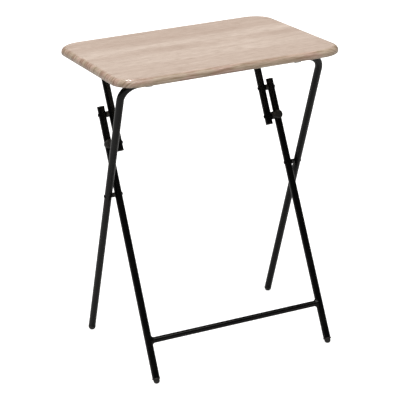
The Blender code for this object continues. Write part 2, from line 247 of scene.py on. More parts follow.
def dome(tree: Tree, radius: Socket, height: Socket, fullness: float) -> Socket:
    """A round head on the origin, swept up Z with a radius that falls off as a superellipse.

    Args:
        tree: The tree that gets the nodes.
        radius: The head's radius at its seat.
        height: Its height.
        fullness: The superellipse's power.

    Returns:
        The head as closed geometry.
    """
    line = add_node(tree, "GeometryNodeCurvePrimitiveLine", {"End": (0, 0, 1)})
    fine = add_node(tree, "GeometryNodeResampleCurve", {"Curve": line, "Count": DOME_STEPS})
    share = add_node(tree, "GeometryNodeSplineParameter", out="Factor")
    turn = add_node(tree, "ShaderNodeMath", {0: share, 1: DOME_SWEEP}, operation="MULTIPLY")
    sizes = []
    for wave, size in (("SINE", height), ("COSINE", radius)):
        part = add_node(tree, "ShaderNodeMath", {0: turn}, operation=wave)
        part = add_node(tree, "ShaderNodeMath", {0: part, 1: 2 / fullness}, operation="POWER")
        sizes.append(add_node(tree, "ShaderNodeMath", {0: part, 1: size}, operation="MULTIPLY"))
    rise, wide = sizes
    place = add_node(tree, "ShaderNodeCombineXYZ", {"Z": rise})
    path = add_node(tree, "GeometryNodeSetPosition", {"Geometry": fine, "Position": place})
    ring = add_node(tree, "GeometryNodeCurvePrimitiveCircle", {"Resolution": TURNED_SIDES, "Radius": 1.0})
    inputs = {"Curve": path, "Profile Curve": ring, "Scale": wide, "Fill Caps": True}
    return add_node(tree, "GeometryNodeCurveToMesh", inputs)


@functools.cache
def bent_tube_tree() -> Tree:
    """A tube along a line of corners, with every corner bent to one radius and both ends open."""
    tree, source = TubeSizes.start_tree("bent_tube")
    line = add_node(tree, "GeometryNodeMeshToCurve", {"Mesh": source["Geometry"]})
    inputs = {"Curve": line, "Count": source["bend_steps"], "Radius": source["bend"]}
    path = add_node(tree, "GeometryNodeFilletCurve", inputs, mode="POLY")
    inputs = {"Resolution": source["sides"], "Radius": source["outer"]}
    ring = add_node(tree, "GeometryNodeCurvePrimitiveCircle", inputs)
    tube = add_node(tree, "GeometryNodeCurveToMesh", {"Curve": path, "Profile Curve": ring})
    return end_tree(tree, source, [tube])


@functools.cache
def rivet_tree() -> Tree:
    """Rivets on the edges of a guide: a shank along each edge, a domed head where head is 1."""
    tree, source = RivetSizes.start_tree("rivets")
    points = source["Geometry"]
    line = add_node(tree, "GeometryNodeMeshToCurve", {"Mesh": points})
    inputs = {"Resolution": TURNED_SIDES // 2, "Radius": source["shank"]}
    ring = add_node(tree, "GeometryNodeCurvePrimitiveCircle", inputs)
    inputs = {"Curve": line, "Profile Curve": ring, "Fill Caps": True}
    shanks = add_node(tree, "GeometryNodeCurveToMesh", inputs)
    head = dome(tree, source["head"], source["height"], RIVET_FULLNESS)
    kind = "GeometryNodeInputNamedAttribute"
    chosen = add_node(tree, kind, {"Name": "head"}, data_type="BOOLEAN")
    facing = add_node(tree, kind, {"Name": "outward"}, data_type="FLOAT_VECTOR")
    turn = add_node(tree, "FunctionNodeAlignRotationToVector", {"Vector": facing}, axis="Z")
    inputs = {"Points": points, "Selection": chosen, "Instance": head, "Rotation": turn}
    heads = add_node(tree, "GeometryNodeInstanceOnPoints", inputs)
    return end_tree(tree, source, [shanks, heads])


@functools.cache
def screw_tree() -> Tree:
    """Pan-head screws with a cross recess at the guide's points, heads down, each turned at random."""
    tree, source = ScrewSizes.start_tree("screws")
    height, length = source["height"], source["length"]
    head = dome(tree, source["head"], height, SCREW_FULLNESS)
    arms = []
    recess = (source["recess_span"], source["recess_width"])
    for along, across in (recess, recess[::-1]):
        inputs = {"X": along, "Y": across, "Z": height}
        block = add_node(tree, "ShaderNodeCombineXYZ", inputs)
        arm = add_node(tree, "GeometryNodeMeshCube", {"Size": block})
        lift = add_node(tree, "ShaderNodeCombineXYZ", {"Z": height})
        arms.append(add_node(tree, "GeometryNodeTransform", {"Geometry": arm, "Translation": lift}))
    inputs = {"Mesh 1": head, "Mesh 2": arms}
    cut = add_node(tree, "GeometryNodeMeshBoolean", inputs, operation="DIFFERENCE", solver="EXACT")
    half = add_node(tree, "ShaderNodeMath", {0: length, 1: -0.5}, operation="MULTIPLY")
    sink = add_node(tree, "ShaderNodeCombineXYZ", {"Z": half})
    inputs = {"Vertices": TURNED_SIDES // 2, "Radius": source["shank"], "Depth": length}
    shank = add_node(tree, "GeometryNodeMeshCylinder", inputs)
    shank = add_node(tree, "GeometryNodeTransform", {"Geometry": shank, "Translation": sink})
    screw = add_node(tree, "GeometryNodeJoinGeometry", {"Geometry": [cut, shank]})
    # Inputs 2 and 3 are the least and the greatest number, and output 1 is a plain number.
    spin = add_node(tree, "FunctionNodeRandomValue", {3: math.tau / 4, "Seed": source["seed"]}, out=1)
    euler = add_node(tree, "ShaderNodeCombineXYZ", {"X": math.pi, "Z": spin})
    turn = add_node(tree, "FunctionNodeEulerToRotation", {"Euler": euler})
    inputs = {"Points": source["Geometry"], "Instance": screw, "Rotation": turn}
    return end_tree(tree, source, [add_node(tree, "GeometryNodeInstanceOnPoints", inputs)])


# Finishes


def linear(hex_colour: str) -> tuple[float, float, float, float]:
    """An sRGB hex colour such as #c8b49c as linear red, green, blue and full alpha."""
    channels = []
    for start in (1, 3, 5):
        share = int(hex_colour[start : start + 2], 16) / 255
        channels.append(share / 12.92 if share <= 0.04045 else ((share + 0.055) / 1.055) ** 2.4)
    return (*channels, 1.0)


def stretched_noise(
    tree: Tree, place: Socket, grain: Triple, detail: float, seed: float = 0.0
) -> Socket:
    """Noise with blotches of a real size.

    Args:
        tree: The material's tree.
        place: The coordinates in metres.
        grain: The size of one blotch along each axis, in millimetres.
        detail: How many finer octaves lie over it.
        seed: Shifts the pattern, so that two with the same grain differ.

    Returns:
        The noise, from 0 to 1 and mostly near the middle.
    """
    scale = tuple(1 / (size * MM) for size in grain)
    inputs = {"Vector": place, "Location": (seed, seed, seed), "Scale": scale}
    moved = add_node(tree, "ShaderNodeMapping", inputs)
    inputs = {"Vector": moved, "Scale": 1.0, "Detail": detail, "Roughness": 0.55}
    return add_node(tree, "ShaderNodeTexNoise", inputs, out="Fac")


def spread(tree: Tree, value: Socket, source: Pair, target: Pair) -> Socket:
    """The value, mapped from the source range to the target range and held inside it."""
    inputs = {"Value": value, 1: source[0], 2: source[1], 3: target[0], 4: target[1]}
    return add_node(tree, "ShaderNodeMapRange", inputs, clamp=True)


def mixed(tree: Tree, share: Any, first: Any, second: Any, blend: str = "MIX") -> Socket:
    """Two colours mixed by share, in the given way."""
    inputs = {0: share, 6: first, 7: second}
    return add_node(tree, "ShaderNodeMix", inputs, out=2, data_type="RGBA", blend_type=blend)


def relief(tree: Tree, height: Socket, strength: float, depth: float) -> Socket:
    """The normal of a relief whose full height is depth, in millimetres."""
    inputs = {"Height": height, "Strength": strength, "Distance": depth * MM}
    return add_node(tree, "ShaderNodeBump", inputs)


class Finish:
    """A finish makes its material once and hands out the same one afterwards."""

    name: ClassVar[str]
    slot: ClassVar[Slot | None] = None

    def material(self) -> bpy.types.Material:
        """The finish's material, with its node tree."""
        found = bpy.data.materials.get(self.name)
        if found:
            return found
        material = bpy.data.materials.new(self.name)
        material.use_nodes = True
        tree = material.node_tree
        tree.nodes.clear()
        shader = add_node(tree, "ShaderNodeBsdfPrincipled", self.shade(tree))
        add_node(tree, "ShaderNodeOutputMaterial", {"Surface": shader})
        return material

    def shade(self, tree: Tree) -> dict[str, Any]:
        """What the Principled shader's inputs take."""
        raise NotImplementedError


@dataclass(frozen=True)
class OakFoil(Finish):
    """Printed oak-look foil, pressed hot over fibreboard and round its edge.

    The print gives long pale and dark stripes with a fine open grain. The foil's lacquer gives
    a satin sheen that breaks into a small highlight where the edge rolls over. Where the foil
    is stretched down the edge it looks browner and its streaks stand out. The tint down the
    edge also darkens it, and that part is painted shade for the light that the edge misses.
    """

    name: ClassVar[str] = "oak_print_foil"
    slot: ClassVar[Slot] = Slot.OAK_FOIL
    pale: str = "#e4d3c6"
    dark: str = "#cab5a7"
    streak: str = "#a8917f"
    # Tints that multiply the foil down the edge: the stretched foil's browner tone, and painted shade
    # that darkens the edge.
    edge_tints: tuple[str, str] = ("#efeee4", "#f1e5e1")
    # Stripes from the front edge to the rear: the place across the board in millimetres and
    # how pale the print is there.
    stripes: tuple[Pair, ...] = (
        (-214, 0.35), (-150, 0.42), (-102, 0.45), (-74, 0.80), (-45, 0.60), (-23, 0.78),
        (-4, 0.36), (16, 0.28), (32, 0.62), (47, 0.96), (64, 0.74), (80, 0.42), (100, 0.06),
        (122, 0.26), (214, 0.32),
    )
    # How far a stripe wanders to each side, in millimetres.
    sway: float = 7
    # How strongly the growth rings show in the print, against the stripes.
    ring_contrast: float = 2.2
    # How much smoother stretching makes the lacquer over the edge.
    edge_polish: float = 0.15

    def shade(self, tree: Tree) -> dict[str, Any]:
        """Stripes, long grain and pores, all along the board, in the foil's own flat map."""
        streak = linear(self.streak)
        foil = add_node(tree, "ShaderNodeUVMap", uv_map=FOIL_MAP)
        across = add_node(tree, "ShaderNodeSeparateXYZ", {0: foil}, out="Y")
        sway = stretched_noise(tree, foil, (330, 40, 1000), 2)
        sway = spread(tree, sway, NOISE_RANGE, (-self.sway * MM, self.sway * MM))
        across = add_node(tree, "ShaderNodeMath", {0: across, 1: sway}, operation="ADD")
        first, last = self.stripes[0][0], self.stripes[-1][0]
        across = spread(tree, across, (first * MM, last * MM), (0, 1))
        stops = [((y - first) / (last - first), (tone, tone, tone, 1)) for y, tone in self.stripes]
        stripes = add_node(tree, "ShaderNodeValToRGB", {0: across}, stops=stops)
        # Growth rings 6 mm apart and pores, which are really 0.3 mm wide and are drawn at
        # 1.4 mm so that they show.
        rings = stretched_noise(tree, foil, (150, 6, 1000), 4, seed=3)
        pores = stretched_noise(tree, foil, (24, 1.4, 1000), 3, seed=7)
        tone = add_node(tree, "ShaderNodeMath", {0: rings, 1: 0.5}, operation="SUBTRACT")
        inputs = {0: tone, 1: self.ring_contrast, 2: stripes}
        tone = add_node(tree, "ShaderNodeMath", inputs, operation="MULTIPLY_ADD", use_clamp=True)
        colour = mixed(tree, tone, linear(self.dark), linear(self.pale))
        colour = mixed(tree, spread(tree, pores, (0.36, 0.54), (0.6, 0)), colour, streak)
        edge = add_node(tree, "ShaderNodeAttribute", attribute_name=EDGE_ATTRIBUTE, out="Fac")
        figure = stretched_noise(tree, foil, (55, 6, 1000), 5, seed=11)
        figure = spread(tree, figure, (0.38, 0.54), (1, 0))
        figure = add_node(tree, "ShaderNodeMath", {0: figure, 1: edge}, operation="MULTIPLY")
        colour = mixed(tree, figure, colour, streak)
        # Blocks of two tints, 24 mm wide where they run down an end of the board. The tints brown the
        # edge and also darken it with painted shade.
        blocks = stretched_noise(tree, foil, (90, 24, 1000), 1, seed=19)
        blocks = spread(tree, blocks, (0.46, 0.54), (0, 1))
        tint_and_shade = mixed(tree, blocks, *map(linear, self.edge_tints))
        rough = spread(tree, rings, NOISE_RANGE, (0.33, 0.43))
        inputs = {0: edge, 1: -self.edge_polish, 2: rough}
        height = add_node(tree, "ShaderNodeMath", {0: pores, 1: rings}, operation="ADD")
        # The edge's tint browns the foil and darkens it with painted shade, fully where edge is 1.
        return {
            "Base Color": mixed(tree, edge, colour, tint_and_shade, blend="MULTIPLY"),
            "Roughness": add_node(tree, "ShaderNodeMath", inputs, operation="MULTIPLY_ADD"),
            "Normal": relief(tree, height, 0.25, 0.15),
        }


@dataclass(frozen=True)
class BackingPaper(Finish):
    """Resin-soaked balancing paper under a fibreboard: matt, pale and faintly fibrous."""

    name: ClassVar[str] = "balancing_paper"
    slot: ClassVar[Slot] = Slot.OAK_FOIL
    sheet: str = "#d8cdbf"
    fibre: str = "#c6b9a8"

    def shade(self, tree: Tree) -> dict[str, Any]:
        """Soft fibres in no direction over a slow mottle."""
        place = add_node(tree, "ShaderNodeTexCoord", out="Object")
        fibres = stretched_noise(tree, place, (3, 3, 3), 4)
        mottle = stretched_noise(tree, place, (60, 60, 60), 2, seed=5)
        share = add_node(tree, "ShaderNodeMath", {0: fibres, 1: mottle}, operation="MULTIPLY")
        share = spread(tree, share, (0.15, 0.35), (0, 1))
        return {
            "Base Color": mixed(tree, share, linear(self.sheet), linear(self.fibre)),
            "Roughness": spread(tree, mottle, NOISE_RANGE, (0.6, 0.72)),
            "Normal": relief(tree, fibres, 0.2, 0.1),
        }


@dataclass(frozen=True)
class StudioPaper(Finish):
    """Background paper that is burnt out to white, but lights the table only as a grey sheet would."""

    name: ClassVar[str] = "studio_paper"
    sheet: str = "#c3c3c3"
    glow: float = 0.9

    def shade(self, tree: Tree) -> dict[str, Any]:
        """A plain sheet with a slight tooth, whose glow only the camera sees."""
        place = add_node(tree, "ShaderNodeTexCoord", out="Object")
        tooth = stretched_noise(tree, place, (4, 4, 4), 2)
        seen = add_node(tree, "ShaderNodeLightPath", out="Is Camera Ray")
        glow = add_node(tree, "ShaderNodeMath", {0: seen, 1: self.glow}, operation="MULTIPLY")
        return {
            "Base Color": linear(self.sheet),
            "Roughness": 0.9,
            "Normal": relief(tree, tooth, 0.05, 0.1),
            "Emission Color": (1, 1, 1, 1),
            "Emission Strength": glow,
        }


class Mottled(Finish):
    """A finish of two tones in patches, which differ in gloss too, under a fine relief."""

    tones: ClassVar[tuple[str, str]]
    # The noise of the patches and of the relief: blotch size, detail and seed.
    patches: ClassVar[tuple[Triple, float, float]]
    grain: ClassVar[tuple[Triple, float, float]]
    # Where in the patches' noise the second tone sets in and where it is full.
    takeover: ClassVar[Pair]
    # The roughness at the low and the high end of the patches' noise.
    gloss: ClassVar[Pair]
    # The relief's strength and its depth in millimetres.
    relief: ClassVar[Pair]
    fixed: ClassVar[dict[str, float]] = {}

    def shade(self, tree: Tree) -> dict[str, Any]:
        """Patches of tone and gloss, the relief, and what is the same all over."""
        place = add_node(tree, "ShaderNodeTexCoord", out="Object")
        patches = stretched_noise(tree, place, *self.patches)
        grain = stretched_noise(tree, place, *self.grain)
        share = spread(tree, patches, self.takeover, (0, 1))
        return {
            "Base Color": mixed(tree, share, *map(linear, self.tones)),
            "Roughness": spread(tree, patches, NOISE_RANGE, self.gloss),
            "Normal": relief(tree, grain, *self.relief),
            **self.fixed,
        }


class PowderCoat(Mottled):
    """Black polyester powder, baked on steel tube.

    It flows out smooth, so it mirrors the room softly. The last unevenness is an orange peel
    about 2 mm across, and handling leaves patches a little duller than the rest.
    """

    name = "black_powder_coat"
    slot = Slot.PAINT
    tones = ("#050505", "#0c0b0a")
    patches = ((35, 35, 35), 3, 4)
    grain = ((2.2, 2.2, 2.2), 1, 0)
    takeover = (0.45, 0.75)
    gloss = (0.17, 0.26)
    relief = (0.1, 0.05)
    fixed = {"Specular IOR Level": 0.26}


class MouldedPlastic(Mottled):
    """Black polypropylene, moulded against a spark-eroded tool.

    The tool leaves a fine matt grain, 0.1 mm across and drawn at 0.5 mm, the finest that
    shows. Scuffs are paler and rougher.
    """

    name = "black_moulded_plastic"
    slot = Slot.PLASTIC
    tones = ("#292725", "#373532")
    patches = ((6, 6, 6), 4, 9)
    grain = ((0.5, 0.5, 0.5), 2, 0)
    takeover = (0.48, 0.7)
    gloss = (0.42, 0.56)
    relief = (0.3, 0.04)


class ZincPlate(Mottled):
    """Bright zinc over cold-rolled strip: a cloudy blue-grey metal with faint rolling lines."""

    name = "bright_zinc_plate"
    slot = Slot.ZINC
    tones = ("#c3c7cb", "#a9a9a2")
    patches = ((9, 9, 9), 4, 0)
    grain = ((0.5, 20, 20), 2, 2)
    takeover = (0.4, 0.65)
    gloss = (0.28, 0.42)
    relief = (0.15, 0.03)
    fixed = {"Metallic": 1.0}


class BlackenedSteel(Mottled):
    """Steel rivets, set and then dipped black: dull metal that is rubbed brighter in spots."""

    name = "blackened_rivet_steel"
    slot = Slot.RIVET
    tones = ("#1b1b1c", "#3a3a3b")
    patches = ((1.5, 1.5, 1.5), 4, 0)
    grain = ((1.5, 1.5, 1.5), 4, 0)
    takeover = (0.5, 0.68)
    gloss = (0.46, 0.3)
    relief = (0.2, 0.05)
    fixed = {"Metallic": 0.9}


# Meshes


def arc(radius: float, first: float, last: float, steps: int, centre: Pair = (0, 0)) -> list[Pair]:
    """Points on an arc, both ends included, with its angles in degrees."""
    points = []
    for step in range(steps + 1):
        angle = math.radians(first + (last - first) * step / steps)
        points.append((centre[0] + radius * math.cos(angle), centre[1] + radius * math.sin(angle)))
    return points


def round_corners(half: Vector, corner: float, steps: int) -> Iterator[tuple[Vector, Vector]]:
    """Walks the rounded corners of a rectangle about the origin.

    Args:
        half: Half its length and width.
        corner: The corners' radius.
        steps: Facets round each corner.

    Yields:
        For each point its corner's centre and the way out from there.
    """
    for quarter, (sx, sy) in enumerate(((1, 1), (-1, 1), (-1, -1), (1, -1))):
        centre = Vector((sx * (half.x - corner), sy * (half.y - corner)))
        for point in arc(1, 90 * quarter, 90 * quarter + 90, steps):
            yield centre, Vector(point)


def mesh_of(bm: bmesh.types.BMesh, name: str) -> Mesh:
    """Turns a bmesh into a mesh, its doubles merged and its faces pointing out."""
    bmesh.ops.remove_doubles(bm, verts=bm.verts, dist=1e-6)
    bmesh.ops.recalc_face_normals(bm, faces=bm.faces)
    mesh = bpy.data.meshes.new(name)
    bm.to_mesh(mesh)
    bm.free()
    return mesh


def turned(
    name: str, profile: Sequence[Pair], start: Vector, direction: Vector, sides: int = TURNED_SIDES
) -> Mesh:
    """A mesh turned about a line.

    Args:
        name: The mesh's name.
        profile: Pairs of radius and distance along the line, from axis to axis, or a closed
            loop where none lies on the axis.
        start: Where distance is 0.
        direction: Which way distance grows.
        sides: Facets round the line.

    Returns:
        The closed mesh.
    """
    bm = bmesh.new()
    points = [bm.verts.new((radius, 0, along)) for radius, along in profile]
    pairs = list(zip(points, points[1:]))
    if profile[0][0] > 0:
        pairs.append((points[-1], points[0]))
    edges = [bm.edges.new(pair) for pair in pairs]
    bmesh.ops.spin(bm, geom=points + edges, axis=Z_AXIS, angle=math.tau, steps=sides)
    turn = Z_AXIS.rotation_difference(direction).to_matrix().to_4x4()
    bmesh.ops.transform(bm, matrix=Matrix.Translation(start) @ turn, verts=bm.verts)
    return mesh_of(bm, name)


def rod(name: str, radius: float, start: Vector, end: Vector) -> Mesh:
    """A cutter's plain rod from start to end."""
    length = (end - start).length
    return turned(name, [(0, 0), (radius, 0), (radius, length), (0, length)], start, end - start)


def prism(name: str, outline: Sequence[Sequence[float]], push: Vector) -> Mesh:
    """A flat outline, pushed out into a solid."""
    bm = bmesh.new()
    face = bm.faces.new([bm.verts.new(point) for point in outline])
    copy = bmesh.ops.extrude_face_region(bm, geom=[face])["geom"]
    moved = [item for item in copy if isinstance(item, bmesh.types.BMVert)]
    bmesh.ops.translate(bm, vec=push, verts=moved)
    return mesh_of(bm, name)


def ring_strip(bm: bmesh.types.BMesh, rings: list[list[bmesh.types.BMVert]], closed: bool) -> None:
    """Joins neighbouring rings of vertices with quads, and the last to the first if closed."""
    following = rings[1:] + rings[:1] if closed else rings[1:]
    for ring, other in zip(rings, following):
        for index, vert in enumerate(ring):
            after = (index + 1) % len(ring)
            bm.faces.new((vert, ring[after], other[after], other[index]))


def helper_object(name: str, mesh: Mesh) -> bpy.types.Object:
    """Links an object for a mesh."""
    obj = bpy.data.objects.new(name, mesh)
    bpy.context.scene.collection.objects.link(obj)
    return obj


def add_modifier(obj: bpy.types.Object, kind: str, **settings: Any) -> bpy.types.Modifier:
    """Adds a modifier with its settings."""
    modifier = obj.modifiers.new(kind.lower(), kind)
    for name, value in settings.items():
        setattr(modifier, name, value)
    return modifier


def settled(obj: bpy.types.Object) -> Mesh:
    """The object's mesh with its modifiers applied. The object itself is removed."""
    graph = bpy.context.evaluated_depsgraph_get()
    mesh = bpy.data.meshes.new_from_object(obj.evaluated_get(graph))
    bpy.data.objects.remove(obj, do_unlink=True)
    return mesh


def carved(name: str, mesh: Mesh, steps: Sequence[tuple[str, Mesh]]) -> Mesh:
    """Runs exact Booleans on a mesh.

    Args:
        name: The result's name.
        mesh: What is cut or added to.
        steps: Operation names, UNION, DIFFERENCE or INTERSECT, each with its other mesh.

    Returns:
        The carved mesh.
    """
    obj = helper_object(name, mesh)
    others = []
    for operation, other in steps:
        others.append(helper_object(f"{name} {operation.lower()}", other))
        add_modifier(obj, "BOOLEAN", operation=operation, solver="EXACT", object=others[-1])
    result = settled(obj)
    for tool in others:
        bpy.data.objects.remove(tool, do_unlink=True)
    return result


def guide_mesh(name: str, points: Sequence[Vector], edges: Sequence[tuple[int, int]]) -> Mesh:
    """A mesh of points and edges only, for a tree to read."""
    mesh = bpy.data.meshes.new(name)
    mesh.from_pydata([tuple(point) for point in points], list(edges), [])
    return mesh


def place_piece(
    name: str,
    mesh: Mesh,
    body: Body,
    finish: Finish,
    stands_for: Sequence[str],
    sharp: float = 35.0,
) -> None:
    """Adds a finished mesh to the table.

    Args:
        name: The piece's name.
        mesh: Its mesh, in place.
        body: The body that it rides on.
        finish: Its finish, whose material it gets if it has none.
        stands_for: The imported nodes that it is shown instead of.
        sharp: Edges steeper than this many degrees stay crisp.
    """
    if not mesh.materials or mesh.materials[0] is None:
        mesh.materials.clear()
        mesh.materials.append(finish.material())
    mesh.shade_smooth()
    mesh.set_sharp_from_angle(angle=math.radians(sharp))
    obj = helper_object(name, mesh)
    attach(obj, body.value)
    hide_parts(*stands_for)
    LOG.info("%s: %d faces on %s", name, len(mesh.polygons), body.value)


def place_tube(
    name: str, corners: Sequence[Vector], radius: float, bend: float, body: Body, node: str
) -> None:
    """Adds a painted tube with its wall, open at both ends.

    Args:
        name: The piece's name.
        corners: The ends and the corners between them, along the tube's middle.
        radius: The tube's outer radius.
        bend: The radius of each bend, at the tube's middle.
        body: The body that it rides on.
        node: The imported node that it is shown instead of.
    """
    finish = PowderCoat()
    edges = [(index, index + 1) for index in range(len(corners) - 1)]
    guide = guide_mesh(name, corners, edges)
    skin = TubeSizes(radius, bend).grow(name, bent_tube_tree(), guide, finish)
    bm = bmesh.new()
    bm.from_mesh(skin)
    tube = helper_object(name, mesh_of(bm, name))
    add_modifier(tube, "SOLIDIFY", thickness=TUBE_WALL, offset=-1, use_even_offset=True)
    place_piece(name, settled(tube), body, finish, [node])


# Places


def joint_point(name: str) -> Vector:
    """Where a joint of the frame turns."""
    return next(Vector(joint["pos_m"]) for joint in frame["joints"] if joint["name"] == name)


def mount_point(name: str) -> Vector:
    """Where a mount of the record lies."""
    return next(Vector(item["pos_m"]) for item in frame["record"]["mounts"] if item["name"] == name)


def middle(node: str) -> Vector:
    """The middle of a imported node's box."""
    low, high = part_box(node)
    return (low + high) / 2


def at_x(point: Vector, x: float) -> Vector:
    """The point, moved to x."""
    return Vector((x, point.y, point.z))


def at_height(start: Vector, direction: Vector, z: float) -> Vector:
    """The point of a line through start that lies at height z."""
    return start + direction * ((z - start.z) / direction.z)


@dataclass(frozen=True)
class Linkage:
    """The table's centre lines: where the pivots are and how each leg runs through them."""

    front_hinge: Vector
    rear_hinge: Vector
    knee: Vector
    scissor: Vector
    tube_radius: float
    rear_leg_x: float
    link_x: float
    front_sole: Vector
    front_top: Vector

    @classmethod
    def from_frame(cls) -> "Linkage":
        """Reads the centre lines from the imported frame."""
        rear_sole = mount_point("rear_foot_right_sole")
        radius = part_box("rear_leg_frame")[1].x - rear_sole.x
        return cls(
            front_hinge=joint_point("rear_legs_fold"),
            rear_hinge=joint_point("upper_links_fold"),
            knee=joint_point("front_legs_knee"),
            scissor=at_x(middle("scissor_rivet_outer_right"), 0),
            tube_radius=radius,
            rear_leg_x=rear_sole.x,
            link_x=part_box("upper_link_frame")[1].x - radius,
            front_sole=mount_point("front_foot_right_sole"),
            front_top=middle("leg_top_plug_right"),
        )

    @property
    def rear_down(self) -> Vector:
        """Down the rear legs."""
        return (self.scissor - self.front_hinge).normalized()

    @property
    def link_down(self) -> Vector:
        """Down the upper links."""
        return (self.scissor - self.rear_hinge).normalized()

    def front_down(self, side: Side) -> Vector:
        """Down a front leg, which spreads a little towards its foot."""
        return (self.front_leg(0, side) - self.front_leg(1, side)).normalized()

    def rear_leg(self, z: float, side: Side) -> Vector:
        """The middle of a rear leg at height z."""
        return at_x(at_height(self.front_hinge, self.rear_down, z), side.value * self.rear_leg_x)

    def link(self, z: float, side: Side) -> Vector:
        """The middle of an upper link at height z."""
        return at_x(at_height(self.rear_hinge, self.link_down, z), side.value * self.link_x)

    def front_leg(self, z: float, side: Side) -> Vector:
        """The middle of a front leg at height z."""
        slope = (self.front_top.x - self.front_sole.x) / (self.front_top.z - self.front_sole.z)
        return at_x(self.link(z, side), side.value * (self.front_sole.x + slope * z))

    def tube_end(self, node: str, down: Vector, upper: bool = False) -> float:
        """The height of the middle of a tube's square-cut lower or upper end."""
        low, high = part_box(node)
        rim = self.tube_radius * math.sqrt(1 - down.z**2)
        return high.z - rim if upper else low.z + rim


def u_corners(path: Callable[[float, Side], Vector], bottom: float, top: float) -> list[Vector]:
    """The ends and corners of a frame whose legs follow path from bottom up to a bar at top."""
    corners = [path(z, Side.LEFT) for z in (bottom, top)]
    return corners + [path(z, Side.RIGHT) for z in (top, bottom)]


# Sub-assemblies


class Rivets:
    """Domed rivets along X, gathered for one body and made by one tree."""

    def __init__(self) -> None:
        """Starts with no rivets."""
        self.nodes: list[str] = []
        self.points: list[Vector] = []
        self.heads: list[bool] = []
        self.facing: list[float] = []

    def add(self, node: str, near: Vector, far: Vector, near_head: bool, far_head: bool) -> None:
        """Adds a rivet.

        Args:
            node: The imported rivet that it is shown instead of.
            near: One end.
            far: The other end.
            near_head: Whether a head sits on the near end.
            far_head: Whether one sits on the far end.
        """
        outward = (far - near).normalized()
        self.nodes.append(node)
        self.points += [near, far]
        self.heads += [near_head, far_head]
        self.facing += [*-outward, *outward]

    def build(self, name: str, body: Body) -> None:
        """Makes the gathered rivets as one piece."""
        edges = [(index, index + 1) for index in range(0, len(self.points), 2)]
        guide = guide_mesh(name, self.points, edges)
        for label, kind, field, values in (
            ("head", "BOOLEAN", "value", self.heads),
            ("outward", "FLOAT_VECTOR", "vector", self.facing),
        ):
            guide.attributes.new(label, kind, "POINT").data.foreach_set(field, values)
        finish = BlackenedSteel()
        mesh = RivetSizes().grow(name, rivet_tree(), guide, finish)
        place_piece(name, mesh, body, finish, self.nodes)


def place_spacer(washer: str, body: Body, finish: Finish, rounding: float = 0.4 * MM) -> None:
    """Adds a turned spacer that fills a packed washer's box along X, with rounded rims."""
    low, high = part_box(washer)
    outer, length = (high.z - low.z) / 2, high.x - low.x
    profile = arc(rounding, -90, 0, 5, (outer - rounding, rounding))
    profile += arc(rounding, 0, 90, 5, (outer - rounding, length - rounding))
    profile = [(SPACER_BORE, 0), *profile, (SPACER_BORE, length)]
    name = washer.replace("washer", "spacer")
    mesh = turned(name, profile, at_x(middle(washer), low.x), X_AXIS)
    place_piece(name, mesh, body, finish, [washer])


@dataclass
class Board:
    """The board: fibreboard with foil pressed over its face and edge, and paper underneath."""

    corner: float = 53 * MM
    upper_round: float = 11.5 * MM
    lower_round: float = 4 * MM
    corner_steps: int = 28
    # How far a flat ring lies inside each rounding, so that the shading of the flats stays flat.
    flat_ring: float = 2 * MM
    # The run over which the foil takes on the edge's browner tone and its painted shade.
    tint_run: float = 6 * MM

    def profile(self) -> list[tuple[float, float, float, float]]:
        """The edge from the underside up.

        Returns:
            For each ring its inset, its height, how far the foil has run from the top's flat
            to it, and how much of the edge's tint and painted shade it has, from 0 on the flat to 1.
        """
        low, high = (corner.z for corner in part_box("tabletop"))
        lower = arc(self.lower_round, -90, 0, 8, (-self.lower_round, low + self.lower_round))
        upper = arc(self.upper_round, 0, 90, 18, (-self.upper_round, high - self.upper_round))
        points = [(-self.lower_round - self.flat_ring, low), *lower, *upper]
        points.append((-self.upper_round - self.flat_ring, high))
        rings = []
        run = -self.flat_ring
        previous = points[-1]
        for x, z in reversed(points):
            run += math.dist(previous, (x, z))
            previous = (x, z)
            # How far into the edge's tint and painted shade this ring lies.
            over = min(max(run / self.tint_run, 0.0), 1.0)
            rings.append((-x, z, run, over))
        return rings[::-1]

    def mesh(self) -> Mesh:
        """The board, with the foil's map in metres and how far over the edge each point lies."""
        bm = bmesh.new()
        foil = bm.loops.layers.uv.new(FOIL_MAP)
        edge = bm.verts.layers.float.new(EDGE_ATTRIBUTE)
        flat: dict[bmesh.types.BMVert, Vector] = {}
        rings = []
        for inset, z, run, over in self.profile():
            ring = []
            for centre, outward in round_corners(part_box("tabletop")[1], self.corner, self.corner_steps):
                point = centre + outward * (self.corner - inset)
                vert = bm.verts.new((*point, z))
                vert[edge] = over
                # The foil lies as if rolled out flat from where the edge begins.
                rolled = inset - self.upper_round + run if run >= 0 else 0
                flat[vert] = point + outward * rolled
                ring.append(vert)
            rings.append(ring)
        ring_strip(bm, rings, closed=False)
        bm.faces.new(reversed(rings[0]))
        bm.faces.new(rings[-1])
        underside = {*rings[0], *rings[1]}
        for face in bm.faces:
            face.material_index = int(underside.issuperset(face.verts))
            for loop in face.loops:
                loop[foil].uv = flat[loop.vert]
        mesh = bpy.data.meshes.new("board")
        bmesh.ops.recalc_face_normals(bm, faces=bm.faces)
        bm.to_mesh(mesh)
        bm.free()
        return mesh

    def build(self) -> None:
        """Makes the board."""
        finish, mesh = OakFoil(), self.mesh()
        for layer in (finish, BackingPaper()):
            mesh.materials.append(layer.material())
        place_piece("board", mesh, Body.TABLETOP, finish, ["tabletop"])


